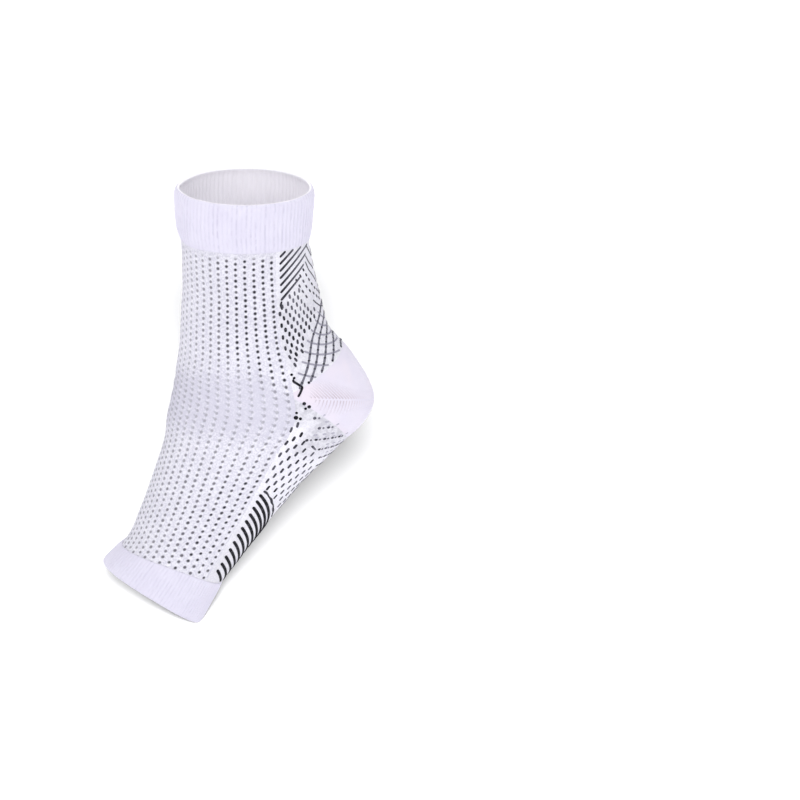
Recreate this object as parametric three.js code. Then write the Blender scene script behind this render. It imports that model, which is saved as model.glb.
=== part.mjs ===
// Open-toe compression ankle sock, knitted tube in seven zones.
// Millimetres, +Z up the leg, toe towards -X, heel towards +X, mirror plane at Y = 0.
// The origin is the centre of the opening at the top of the cuff.
import * as THREE from "three";

// Leg: from the rim of the cuff down to the bend of the ankle
const LEG_HEIGHT = 104;
const LEG_DEPTH = 82;
const LEG_WIDTH = 74;
const CUFF_HEIGHT = 32.5;

// Foot: its own frame starts at the corner under the heel and runs down the sole to the toe end
const HEEL_REACH = 73;
const HEEL_DROP = 48.4;
const FOOT_SLOPE = 51.5;
const FOOT_LENGTH = 164.7;
const FOOT_DEPTH = 71;
const FOOT_WIDTH = 68;
const TOE_BAND_LENGTH = 28;

// Zones of the back strip, measured along the strip
const HEEL_TIP_HEIGHT = 4;
const HEEL_ABOVE_TIP = 25;
const HEEL_BELOW_TIP = 46;
const ARCH_LENGTH = 70.5;

// Walls, seams and the soft roll at both openings
const KNIT_WALL = 1.6;
const CUFF_WALL = 2.6;
const TOE_BAND_WALL = 2.2;
const SEAM_GAP = 0.3;

// The rolled rim: places across its radius, and the least thickness left at its edge, as shares
const RIM_ROLL = [0, 0.3, 1];
const RIM_EDGE = 0.35;

// Facets: columns round the tube, rows along each zone
const FRONT_COLUMNS = 34;
const PANEL_COLUMNS = 24;
const ROWS = { cuff: 4, achilles: 10, heel: 10, sole: 7, arch: 6, toe: 4 };

// Courses of the leg. Drops are shares of LEG_HEIGHT, front and back of LEG_DEPTH, side and lift
// of LEG_WIDTH. Full is how much the back is wider than an ellipse, lift is how far the sides
// ride up, panel is the half angle of the back strip in degrees.
const LEG_SECTIONS = [
  { frontDrop: 0.0, front: -0.51, backDrop: 0.0, back: 0.5, side: 0.54, full: 0.03, lift: 0, panel: 60 },
  { frontDrop: 0.16, front: -0.51, backDrop: 0.16, back: 0.485, side: 0.512, full: 0, lift: 0, panel: 60 },
  { frontDrop: 0.31, front: -0.494, backDrop: 0.31, back: 0.48, side: 0.485, full: 0, lift: 0, panel: 61 },
  { frontDrop: 0.45, front: -0.487, backDrop: 0.44, back: 0.496, side: 0.475, full: 0, lift: 0, panel: 63 },
  { frontDrop: 0.63, front: -0.48, backDrop: 0.6, back: 0.535, side: 0.465, full: 0, lift: 0, panel: 65.4 },
  { frontDrop: 0.82, front: -0.49, backDrop: 0.74, back: 0.58, side: 0.46, full: 0.03, lift: 0, panel: 67 },
  { frontDrop: 1.0, front: -0.505, backDrop: 0.88, back: 0.63, side: 0.46, full: 0.08, lift: 0, panel: 67.4 },
];

// Courses of the foot. TopAt and soleAt are shares of FOOT_LENGTH from the heel corner, top and
// sole are heights over the sole line as shares of FOOT_DEPTH, side and lift of FOOT_WIDTH.
const FOOT_SECTIONS = [
  { topAt: 0.28, top: 1.585, soleAt: -0.185, sole: 0.49, side: 0.475, full: 0.16, lift: 0, panel: 72.6 },
  { topAt: 0.336, top: 1.51, soleAt: -0.15, sole: 0.25, side: 0.475, full: 0.22, lift: 0, panel: 75.3 },
  { topAt: 0.39, top: 1.44, soleAt: -0.095, sole: 0.06, side: 0.475, full: 0.22, lift: 0, panel: 76.5 },
  { topAt: 0.445, top: 1.375, soleAt: -0.005, sole: 0.005, side: 0.47, full: 0.2, lift: 0, panel: 76 },
  { topAt: 0.5, top: 1.3, soleAt: 0.105, sole: 0.04, side: 0.47, full: 0.16, lift: 0, panel: 74.3 },
  { topAt: 0.57, top: 1.225, soleAt: 0.22, sole: 0.065, side: 0.47, full: 0.12, lift: 0, panel: 71.4 },
  { topAt: 0.645, top: 1.155, soleAt: 0.335, sole: 0.085, side: 0.47, full: 0.08, lift: 0.01, panel: 67.3 },
  { topAt: 0.72, top: 1.09, soleAt: 0.455, sole: 0.095, side: 0.47, full: 0.05, lift: 0.03, panel: 62 },
  { topAt: 0.795, top: 1.03, soleAt: 0.575, sole: 0.09, side: 0.465, full: 0.03, lift: 0.05, panel: 58.3 },
  { topAt: 0.872, top: 0.98, soleAt: 0.695, sole: 0.08, side: 0.465, full: 0, lift: 0.07, panel: 54.4 },
  { topAt: 0.94, top: 0.96, soleAt: 0.816, sole: 0.066, side: 0.46, full: 0, lift: 0.07, panel: 50 },
  { topAt: 1.045, top: 0.98, soleAt: 1.0, sole: 0.005, side: 0.46, full: 0, lift: 0.05, panel: 48 },
];

const HEEL_TIP_SECTION = LEG_SECTIONS.length + 1;
const DEGREE = Math.PI / 180;

// Small steps in stations and radians, for slopes of the skin and for walking along it
const SLOPE_STEP = 1e-3;
const WALK_STEP = 0.02;

const heelCorner = new THREE.Vector2(HEEL_REACH, -LEG_HEIGHT - HEEL_DROP);
const soleWay = new THREE.Vector2(-Math.cos(FOOT_SLOPE * DEGREE), -Math.sin(FOOT_SLOPE * DEGREE));
const instepWay = new THREE.Vector2(soleWay.y, -soleWay.x);

function footPoint(alongShare, heightShare) {
  return heelCorner
    .clone()
    .addScaledVector(soleWay, alongShare * FOOT_LENGTH)
    .addScaledVector(instepWay, heightShare * FOOT_DEPTH);
}

function section(front, back, width, row) {
  return {
    frontX: front.x,
    frontZ: front.y,
    backX: back.x,
    backZ: back.y,
    side: row.side * width,
    lift: row.lift * width,
    full: row.full,
    panel: row.panel * DEGREE,
  };
}

const legSections = LEG_SECTIONS.map((row) => {
  const front = new THREE.Vector2(row.front * LEG_DEPTH, -row.frontDrop * LEG_HEIGHT);
  const back = new THREE.Vector2(row.back * LEG_DEPTH, -row.backDrop * LEG_HEIGHT);
  return section(front, back, LEG_WIDTH, row);
});
const footSections = FOOT_SECTIONS.map((row) => {
  const front = footPoint(row.topAt, row.top);
  const back = footPoint(row.soleAt, row.sole);
  return section(front, back, FOOT_WIDTH, row);
});
const sections = [...legSections, ...footSections];
const LAST = sections.length - 1;

// A value of the sections at any station between them, along a Catmull-Rom spline
function between(field, station) {
  const first = Math.min(Math.floor(station), LAST - 1);
  const share = station - first;
  const at = (place) => sections[THREE.MathUtils.clamp(place, 0, LAST)][field];
  const before = first > 0 ? at(first - 1) : 2 * at(0) - at(1);
  const after = first + 2 <= LAST ? at(first + 2) : 2 * at(LAST) - at(LAST - 1);
  const startSlope = (at(first + 1) - before) / 2;
  const endSlope = (after - at(first)) / 2;
  const rise = at(first + 1) - at(first);
  const square = 3 * rise - 2 * startSlope - endSlope;
  const cube = startSlope + endSlope - 2 * rise;
  return at(first) + share * (startSlope + share * (square + share * cube));
}

// A point of the knitted surface. The station counts sections from the cuff, the angle goes
// round the tube from the front (0) over the +Y side to the back (pi).
function skinPoint(station, angle) {
  const front = new THREE.Vector2(between("frontX", station), between("frontZ", station));
  const back = new THREE.Vector2(between("backX", station), between("backZ", station));
  const backShare = (1 - Math.cos(angle)) / 2;
  const chord = back.clone().sub(front);
  const upTube = new THREE.Vector2(-chord.y, chord.x).normalize();
  const centre = front.addScaledVector(chord, backShare);
  centre.addScaledVector(upTube, between("lift", station) * Math.sin(angle) ** 2);
  const width = between("side", station) * (1 + between("full", station) * backShare);
  return new THREE.Vector3(centre.x, width * Math.sin(angle), centre.y);
}

// The point at a depth under the skin
function wallPoint(station, angle, depth) {
  const low = Math.max(station - SLOPE_STEP, 0);
  const high = Math.min(station + SLOPE_STEP, LAST);
  const along = skinPoint(high, angle).sub(skinPoint(low, angle));
  const round = skinPoint(station, angle + SLOPE_STEP).sub(skinPoint(station, angle - SLOPE_STEP));
  const outward = round.cross(along).normalize();
  return skinPoint(station, angle).addScaledVector(outward, -depth);
}

// The station that lies a length further along the skin at a fixed place of the back strip
function stationAfter(start, length, strip) {
  const step = Math.sign(length) * WALK_STEP;
  let station = start;
  let left = Math.abs(length);
  let here = skinPoint(station, panelAngle(station, strip));
  while (left > 0) {
    const next = THREE.MathUtils.clamp(station + step, 0, LAST);
    const there = skinPoint(next, panelAngle(next, strip));
    const stretch = there.distanceTo(here);
    if (stretch >= left) {
      return station + ((next - station) * left) / stretch;
    }
    if (next === station) {
      return station;
    }
    left -= stretch;
    station = next;
    here = there;
  }
  return station;
}

function panelHalfAngle(station) {
  return between("panel", station);
}

// Strip runs from -1 to 1 across the back strip
function panelAngle(station, strip) {
  return Math.PI + strip * panelHalfAngle(station);
}

// Column angles: the front zone first, then the back strip, once round
function frontAngle(station, column) {
  const half = Math.PI - panelHalfAngle(station);
  return half * ((2 * column) / FRONT_COLUMNS - 1);
}

function stripAt(column) {
  return (2 * column) / PANEL_COLUMNS - 1;
}

function ringAngle(station, column) {
  if (column < FRONT_COLUMNS) {
    return frontAngle(station, column);
  }
  return panelAngle(station, stripAt(column - FRONT_COLUMNS));
}

// Seams between the zones
const cuffSeam = stationAfter(0, CUFF_HEIGHT, 0);
const toeSeam = stationAfter(LAST, -TOE_BAND_LENGTH, 1);
const archSeam = stationAfter(toeSeam, -ARCH_LENGTH, 1);
const heelTipTop = stationAfter(HEEL_TIP_SECTION, -HEEL_TIP_HEIGHT / 2, 1);
const heelTipBottom = stationAfter(HEEL_TIP_SECTION, HEEL_TIP_HEIGHT / 2, 1);
const heelTop = stationAfter(HEEL_TIP_SECTION, -HEEL_ABOVE_TIP, 0);
const heelBottom = stationAfter(HEEL_TIP_SECTION, HEEL_BELOW_TIP, 0);

// How far across a seam has come from the tip of the heel pocket (0) to the back (1)
function backness(strip) {
  const edge = Math.cos(panelHalfAngle(HEEL_TIP_SECTION));
  const here = Math.cos(strip * panelHalfAngle(HEEL_TIP_SECTION));
  return (here - edge) / (1 - edge);
}

function heelTopSeam(strip) {
  return THREE.MathUtils.lerp(heelTipTop, heelTop, backness(strip));
}

function heelBottomSeam(strip) {
  return THREE.MathUtils.lerp(heelTipBottom, heelBottom, backness(strip));
}

function evenly(start, end, count) {
  return Array.from({ length: count + 1 }, (_, row) => THREE.MathUtils.lerp(start, end, row / count));
}

// Moves the outermost line of a grid inwards by half of the seam's gap
function trimLine(edge, inner) {
  edge.forEach((point, place) => {
    const inward = inner[place].clone().sub(point).normalize();
    point.addScaledVector(inward, SEAM_GAP / 2);
  });
}

function trimGrid(grid, seams) {
  const bottom = grid.length - 1;
  const right = grid[0].length - 1;
  if (seams.top) {
    trimLine(grid[0], grid[1]);
  }
  if (seams.bottom) {
    trimLine(grid[bottom], grid[bottom - 1]);
  }
  if (seams.sides) {
    trimLine(grid.map((row) => row[0]), grid.map((row) => row[1]));
    trimLine(grid.map((row) => row[right]), grid.map((row) => row[right - 1]));
  }
}

// A closed wall between an outer and an inner grid of points. A round wall joins its last
// column to its first, an open one is closed along its side edges.
function wallGeometry(outer, inner, round) {
  const rows = outer.length;
  const columns = outer[0].length;
  const outerAt = (row, column) => row * columns + (column % columns);
  const innerAt = (row, column) => rows * columns + outerAt(row, column);
  const indices = [];
  const quad = (a, b, c, d) => indices.push(a, b, c, a, c, d);
  const lastColumn = round ? columns : columns - 1;
  for (let row = 0; row < rows - 1; row += 1) {
    for (let column = 0; column < lastColumn; column += 1) {
      const corners = [[row, column], [row, column + 1], [row + 1, column + 1], [row + 1, column]];
      quad(...corners.map((corner) => outerAt(...corner)));
      quad(...corners.reverse().map((corner) => innerAt(...corner)));
    }
  }
  for (let column = 0; column < lastColumn; column += 1) {
    quad(outerAt(0, column + 1), outerAt(0, column), innerAt(0, column), innerAt(0, column + 1));
    const low = rows - 1;
    quad(outerAt(low, column), outerAt(low, column + 1), innerAt(low, column + 1), innerAt(low, column));
  }
  for (let row = 0; row < rows - 1 && !round; row += 1) {
    quad(outerAt(row, 0), outerAt(row + 1, 0), innerAt(row + 1, 0), innerAt(row, 0));
    const side = columns - 1;
    quad(outerAt(row + 1, side), outerAt(row, side), innerAt(row, side), innerAt(row + 1, side));
  }
  const positions = [...outer.flat(), ...inner.flat()].flatMap((point) => point.toArray());
  const geometry = new THREE.BufferGeometry();
  geometry.setAttribute("position", new THREE.Float32BufferAttribute(positions, 3));
  geometry.setIndex(indices);
  geometry.computeVertexNormals();
  return geometry;
}

const sock = new THREE.Group();

function addPiece(name, geometry, colour) {
  const material = new THREE.MeshStandardMaterial({ color: colour, roughness: 0.9, metalness: 0 });
  const mesh = new THREE.Mesh(geometry, material);
  mesh.name = name;
  sock.add(mesh);
}

// A zone of single knit: a grid of places on the skin with a wall under it
function knitZone(name, places, colour) {
  const outer = places.map((row) => row.map(([station, angle]) => wallPoint(station, angle, 0)));
  const inner = places.map((row) => row.map(([station, angle]) => wallPoint(station, angle, KNIT_WALL)));
  const seams = { top: true, bottom: true, sides: true };
  trimGrid(outer, seams);
  trimGrid(inner, seams);
  addPiece(name, wallGeometry(outer, inner, false), colour);
}

// A band round an opening: a thicker wall with a rolled rim, its rows counted from the rim
function bandZone(name, rim, seam, wall, rowCount, colour) {
  const radius = wall / 2;
  const middle = KNIT_WALL - radius;
  const inwards = Math.sign(seam - rim);
  const roll = RIM_ROLL.map((share) => {
    const half = radius * Math.sqrt(1 - (1 - share) ** 2);
    return {
      station: stationAfter(rim, inwards * share * radius, 0),
      half: Math.max(half, radius * RIM_EDGE),
    };
  });
  const body = evenly(roll.at(-1).station, seam, rowCount)
    .slice(1)
    .map((station) => ({ station, half: radius }));
  const rows = [...roll, ...body];
  if (inwards < 0) {
    rows.reverse();
  }
  const columns = Array.from({ length: FRONT_COLUMNS + PANEL_COLUMNS }, (_, column) => column);
  const ring = (station, depth) => {
    return columns.map((column) => wallPoint(station, ringAngle(station, column), depth));
  };
  const outer = rows.map((row) => ring(row.station, middle - row.half));
  const inner = rows.map((row) => ring(row.station, middle + row.half));
  const seams = { top: inwards < 0, bottom: inwards > 0, sides: false };
  trimGrid(outer, seams);
  trimGrid(inner, seams);
  addPiece(name, wallGeometry(outer, inner, true), colour);
}

// A zone of the back strip between two seams, each a function of the place across the strip
function stripPlaces(topSeam, bottomSeam, rowCount) {
  const columns = Array.from({ length: PANEL_COLUMNS + 1 }, (_, column) => stripAt(column));
  return evenly(0, 1, rowCount).map((share) => columns.map((strip) => {
    const station = THREE.MathUtils.lerp(topSeam(strip), bottomSeam(strip), share);
    return [station, panelAngle(station, strip)];
  }));
}

bandZone("cuff_band", 0, cuffSeam, CUFF_WALL, ROWS.cuff, 0xedeaf8);

const bodyStations = [
  ...evenly(cuffSeam, heelTipTop, ROWS.achilles),
  ...evenly(heelTipBottom, archSeam, ROWS.sole),
  ...evenly(archSeam, toeSeam, ROWS.arch).slice(1),
];
const frontColumns = Array.from({ length: FRONT_COLUMNS + 1 }, (_, column) => column);
const bodyPlaces = bodyStations.map((station) => {
  return frontColumns.map((column) => [station, frontAngle(station, column)]);
});
knitZone("instep_body", bodyPlaces, 0xe3e1ee);

knitZone("achilles_panel", stripPlaces(() => cuffSeam, heelTopSeam, ROWS.achilles), 0xc9c7d3);
knitZone("heel_pocket", stripPlaces(heelTopSeam, heelBottomSeam, ROWS.heel), 0xefe9f5);
knitZone("sole_panel", stripPlaces(heelBottomSeam, () => archSeam, ROWS.sole), 0xcfcdd8);
knitZone("arch_panel", stripPlaces(() => archSeam, () => toeSeam, ROWS.arch), 0x9a98a2);

bandZone("toe_band", LAST, toeSeam, TOE_BAND_WALL, ROWS.toe, 0xeeeafc);

export default sock;
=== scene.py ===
"""Looks of the open-toe compression ankle sock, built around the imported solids.

Lengths are in millimetres until a mesh is made. The leg stands along +Z, the toe points to -X,
the heel to +X, and the mirror plane is Y = 0. A place on the knitted tube is a station, which
counts the tube's sections from the cuff, and an angle round it, from the front (0) over the +Y
side to the back (pi). Degrees from the middle of the back are called spread.
"""
import math

import bpy
import numpy as np
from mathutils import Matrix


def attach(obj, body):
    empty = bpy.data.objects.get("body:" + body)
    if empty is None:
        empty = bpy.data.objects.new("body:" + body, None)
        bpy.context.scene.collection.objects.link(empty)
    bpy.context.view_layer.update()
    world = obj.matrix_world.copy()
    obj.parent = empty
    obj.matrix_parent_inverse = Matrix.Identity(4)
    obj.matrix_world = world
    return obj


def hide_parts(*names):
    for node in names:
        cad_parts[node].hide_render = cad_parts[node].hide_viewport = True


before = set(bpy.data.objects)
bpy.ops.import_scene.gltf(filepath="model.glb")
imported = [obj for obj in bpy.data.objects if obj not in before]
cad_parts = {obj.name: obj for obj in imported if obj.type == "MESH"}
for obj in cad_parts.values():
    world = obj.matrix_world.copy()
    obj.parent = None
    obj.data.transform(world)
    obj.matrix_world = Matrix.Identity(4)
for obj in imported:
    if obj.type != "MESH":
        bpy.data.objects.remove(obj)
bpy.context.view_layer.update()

MILLIMETRE = 0.001

# Leg, foot and zones, as in the solids
LEG_HEIGHT = 104
LEG_DEPTH = 82
LEG_WIDTH = 74
CUFF_HEIGHT = 32.5
HEEL_REACH = 73
HEEL_DROP = 48.4
FOOT_SLOPE = math.radians(51.5)
FOOT_LENGTH = 164.7
FOOT_DEPTH = 71
FOOT_WIDTH = 68
TOE_BAND_LENGTH = 28
HEEL_TIP_HEIGHT = 4
HEEL_ABOVE_TIP = 25
HEEL_BELOW_TIP = 46
ARCH_LENGTH = 70.5
KNIT_WALL = 1.6
CUFF_WALL = 2.6
TOE_BAND_WALL = 2.2

# Leg sections: drop of the front, front, drop of the back, back, side, full, lift, panel
LEG_SECTIONS = (
    (0.0, -0.51, 0.0, 0.5, 0.54, 0.03, 0, 60),
    (0.16, -0.51, 0.16, 0.485, 0.512, 0, 0, 60),
    (0.31, -0.494, 0.31, 0.48, 0.485, 0, 0, 61),
    (0.45, -0.487, 0.44, 0.496, 0.475, 0, 0, 63),
    (0.63, -0.48, 0.6, 0.535, 0.465, 0, 0, 65.4),
    (0.82, -0.49, 0.74, 0.58, 0.46, 0.03, 0, 67),
    (1.0, -0.505, 0.88, 0.63, 0.46, 0.08, 0, 67.4),
)
# Foot sections: place and height of the top, place and height of the sole, side, full, lift, panel
FOOT_SECTIONS = (
    (0.28, 1.585, -0.185, 0.49, 0.475, 0.16, 0, 72.6),
    (0.336, 1.51, -0.15, 0.25, 0.475, 0.22, 0, 75.3),
    (0.39, 1.44, -0.095, 0.06, 0.475, 0.22, 0, 76.5),
    (0.445, 1.375, -0.005, 0.005, 0.47, 0.2, 0, 76),
    (0.5, 1.3, 0.105, 0.04, 0.47, 0.16, 0, 74.3),
    (0.57, 1.225, 0.22, 0.065, 0.47, 0.12, 0, 71.4),
    (0.645, 1.155, 0.335, 0.085, 0.47, 0.08, 0.01, 67.3),
    (0.72, 1.09, 0.455, 0.095, 0.47, 0.05, 0.03, 62),
    (0.795, 1.03, 0.575, 0.09, 0.465, 0.03, 0.05, 58.3),
    (0.872, 0.98, 0.695, 0.08, 0.465, 0, 0.07, 54.4),
    (0.94, 0.96, 0.816, 0.066, 0.46, 0, 0.07, 50),
    (1.045, 0.98, 1.0, 0.005, 0.46, 0, 0.05, 48),
)
HEEL_TIP_SECTION = len(LEG_SECTIONS) + 1
LAST = len(LEG_SECTIONS) + len(FOOT_SECTIONS) - 1

# Camera: straight at the side, looking a little down, the frame's width and its centre
VIEW_ELEVATION = math.radians(17.5)
VIEW_DISTANCE = 16000
FRAME_WIDTH = 496
FRAME_CENTRE = (95.5, 0, -138.5)
SENSOR = 36


def make_camera():
    data = bpy.data.cameras.new("camera")
    data.sensor_width = SENSOR
    data.lens = SENSOR * VIEW_DISTANCE / FRAME_WIDTH
    data.clip_end = 100
    camera = bpy.data.objects.new("camera", data)
    back = -math.cos(VIEW_ELEVATION) * VIEW_DISTANCE
    up = math.sin(VIEW_ELEVATION) * VIEW_DISTANCE
    x, y, z = FRAME_CENTRE
    camera.location = (x * MILLIMETRE, (y + back) * MILLIMETRE, (z + up) * MILLIMETRE)
    camera.rotation_euler = (math.pi / 2 - VIEW_ELEVATION, 0, 0)
    bpy.context.scene.collection.objects.link(camera)
    bpy.context.scene.camera = camera


make_camera()

# The knitted surface


def foot_point(along, height):
    sole_way = (-math.cos(FOOT_SLOPE), -math.sin(FOOT_SLOPE))
    instep_way = (sole_way[1], -sole_way[0])
    x = HEEL_REACH + along * FOOT_LENGTH * sole_way[0] + height * FOOT_DEPTH * instep_way[0]
    z = along * FOOT_LENGTH * sole_way[1] + height * FOOT_DEPTH * instep_way[1]
    return x, z - LEG_HEIGHT - HEEL_DROP


def section_rows():
    rows = []
    for front_drop, front, back_drop, back, side, full, lift, panel in LEG_SECTIONS:
        ends = (front * LEG_DEPTH, -front_drop * LEG_HEIGHT, back * LEG_DEPTH, -back_drop * LEG_HEIGHT)
        rows.append((*ends, side * LEG_WIDTH, full, lift * LEG_WIDTH, math.radians(panel)))
    for top_at, top, sole_at, sole, side, full, lift, panel in FOOT_SECTIONS:
        ends = (*foot_point(top_at, top), *foot_point(sole_at, sole))
        rows.append((*ends, side * FOOT_WIDTH, full, lift * FOOT_WIDTH, math.radians(panel)))
    before = 2 * np.array(rows[0]) - rows[1]
    after = 2 * np.array(rows[-1]) - rows[-2]
    return np.vstack([before, rows, after])


SECTIONS = section_rows()


def between(station):
    """The sections' values at any stations, along a Catmull-Rom spline; the last axis holds them."""
    station = np.asarray(station, float)
    first = np.clip(np.floor(station).astype(int), 0, LAST - 1)
    share = (station - first)[..., None]
    before, start, end, after = (SECTIONS[first + step] for step in range(4))
    start_slope = (end - before) / 2
    end_slope = (after - start) / 2
    rise = end - start
    square = 3 * rise - 2 * start_slope - end_slope
    cube = start_slope + end_slope - 2 * rise
    return start + share * (start_slope + share * (square + share * cube))


def skin(station, angle):
    station, angle = np.broadcast_arrays(np.asarray(station, float), np.asarray(angle, float))
    values = between(station)
    front, back = values[..., 0:2], values[..., 2:4]
    side, full, lift = values[..., 4], values[..., 5], values[..., 6]
    back_share = (1 - np.cos(angle)) / 2
    chord = back - front
    up = np.stack([-chord[..., 1], chord[..., 0]], -1)
    up /= np.linalg.norm(up, axis=-1, keepdims=True)
    centre = front + chord * back_share[..., None] + up * (lift * np.sin(angle) ** 2)[..., None]
    width = side * (1 + full * back_share)
    return np.stack([centre[..., 0], width * np.sin(angle), centre[..., 1]], -1)


# Small step in stations and radians, for slopes of the skin
SLOPE_STEP = 1e-3


def unit(vectors):
    return vectors / np.linalg.norm(vectors, axis=-1, keepdims=True)


def outward(station, angle):
    station, angle = np.broadcast_arrays(np.asarray(station, float), np.asarray(angle, float))
    low = np.maximum(station - SLOPE_STEP, 0)
    high = np.minimum(station + SLOPE_STEP, LAST)
    along = skin(high, angle) - skin(low, angle)
    around = skin(station, angle + SLOPE_STEP) - skin(station, angle - SLOPE_STEP)
    return unit(np.cross(around, along))


def panel_half(station):
    return between(station)[..., 7]


# Stations close enough together to measure lengths along the tube
SURVEY = np.linspace(0, LAST, 4001)


def walked_along(points):
    """The way walked from the first point to each of them."""
    steps = np.linalg.norm(np.diff(points, axis=0), axis=-1)
    return np.concatenate([[0], np.cumsum(steps)])


def lengths_along(angles):
    return walked_along(skin(SURVEY, angles))


BACK_LENGTH = lengths_along(np.full(len(SURVEY), math.pi))
EDGE_LENGTH = lengths_along(math.pi + panel_half(SURVEY))
# Rows of dots keep an even distance at this angle
SIDE_ANGLE = math.radians(50)
SIDE_LENGTH = lengths_along(np.full(len(SURVEY), SIDE_ANGLE))


def back_station(length):
    return np.interp(length, BACK_LENGTH, SURVEY)


def back_length(station):
    return np.interp(station, SURVEY, BACK_LENGTH)


def station_after(start, length, table):
    return float(np.interp(np.interp(start, SURVEY, table) + length, table, SURVEY))


CUFF_SEAM = station_after(0, CUFF_HEIGHT, BACK_LENGTH)
TOE_SEAM = station_after(LAST, -TOE_BAND_LENGTH, EDGE_LENGTH)
ARCH_SEAM = station_after(TOE_SEAM, -ARCH_LENGTH, EDGE_LENGTH)
HEEL_TIP_TOP = station_after(HEEL_TIP_SECTION, -HEEL_TIP_HEIGHT / 2, EDGE_LENGTH)
HEEL_TIP_BOTTOM = station_after(HEEL_TIP_SECTION, HEEL_TIP_HEIGHT / 2, EDGE_LENGTH)
HEEL_TOP = station_after(HEEL_TIP_SECTION, -HEEL_ABOVE_TIP, BACK_LENGTH)
HEEL_BOTTOM = station_after(HEEL_TIP_SECTION, HEEL_BELOW_TIP, BACK_LENGTH)


def backness(strip):
    half = panel_half(HEEL_TIP_SECTION)
    edge = np.cos(half)
    return (np.cos(strip * half) - edge) / (1 - edge)


def heel_top_seam(strip):
    return HEEL_TIP_TOP + (HEEL_TOP - HEEL_TIP_TOP) * backness(strip)


def heel_bottom_seam(strip):
    return HEEL_TIP_BOTTOM + (HEEL_BOTTOM - HEEL_TIP_BOTTOM) * backness(strip)


def smooth(low, high, value):
    share = np.clip((value - low) / (high - low), 0, 1)
    return share * share * (3 - 2 * share)


# Slack of the knit: soft waves over the whole tube, each a length in mm and a height in mm
SLACK_WAVES = ((46, 0.35), (31, 0.28), (19, 0.16))
WAYS_PER_WAVE = 4
SLACK_SEED = 7
SLACK_SHARE = 0.6


def slack(points):
    random = np.random.default_rng(SLACK_SEED)
    total = np.zeros(points.shape[:-1])
    for length, height in SLACK_WAVES:
        way = unit(random.normal(size=(WAYS_PER_WAVE, 3)))
        phase = random.uniform(0, 2 * math.pi, WAYS_PER_WAVE)
        total += height / 2 * np.sin(points @ way.T * 2 * math.pi / length + phase).sum(-1)
    return total


# Folds across the bend of the ankle: back length, depth, half width of a fold in mm
BEND_FOLDS = ((118, 0.5, 5), (131, 0.8, 6), (146, 0.7, 6), (160, 0.45, 5))
BEND_STATION = 7.6
BEND_REACH = 2.6
# Folds fade out between these shares of the way from the back to the front
BEND_SIDE = (-0.15, 0.45)
# How far folds sway and ripple round the tube, in mm
FOLD_SWAY = 9
FOLD_RIPPLE = 4


def bend_share(station, angle):
    """How far a place lies in the bend of the ankle, from 0 to 1."""
    near = np.exp(-((station - BEND_STATION) / BEND_REACH) ** 2 * 2)
    return near * smooth(*BEND_SIDE, (1 + np.cos(angle)) / 2)


def folds(station, angle):
    length = back_length(station) + FOLD_SWAY * np.cos(angle * 2) + FOLD_RIPPLE * np.sin(angle * 3 + 1)
    total = np.zeros(np.broadcast(station, angle).shape)
    for place, depth, width in BEND_FOLDS:
        total -= depth * np.exp(-((length - place) / width) ** 2)
    return total * bend_share(station, angle)


def relief_at(station, angle):
    """How far the knit stands over the plain tube, in mm."""
    return slack(skin(station, angle)) * SLACK_SHARE + folds(station, angle)


# Meshes

# Margin round the islands of the bake map and length of its rows, in mm
BAKE_MARGIN = 2.0
BAKE_ROW = 300
SHARP_ANGLE = math.radians(60)
# Share of the outer relief that dents the inside of the wall too
INNER_RELIEF = 0.5


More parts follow.
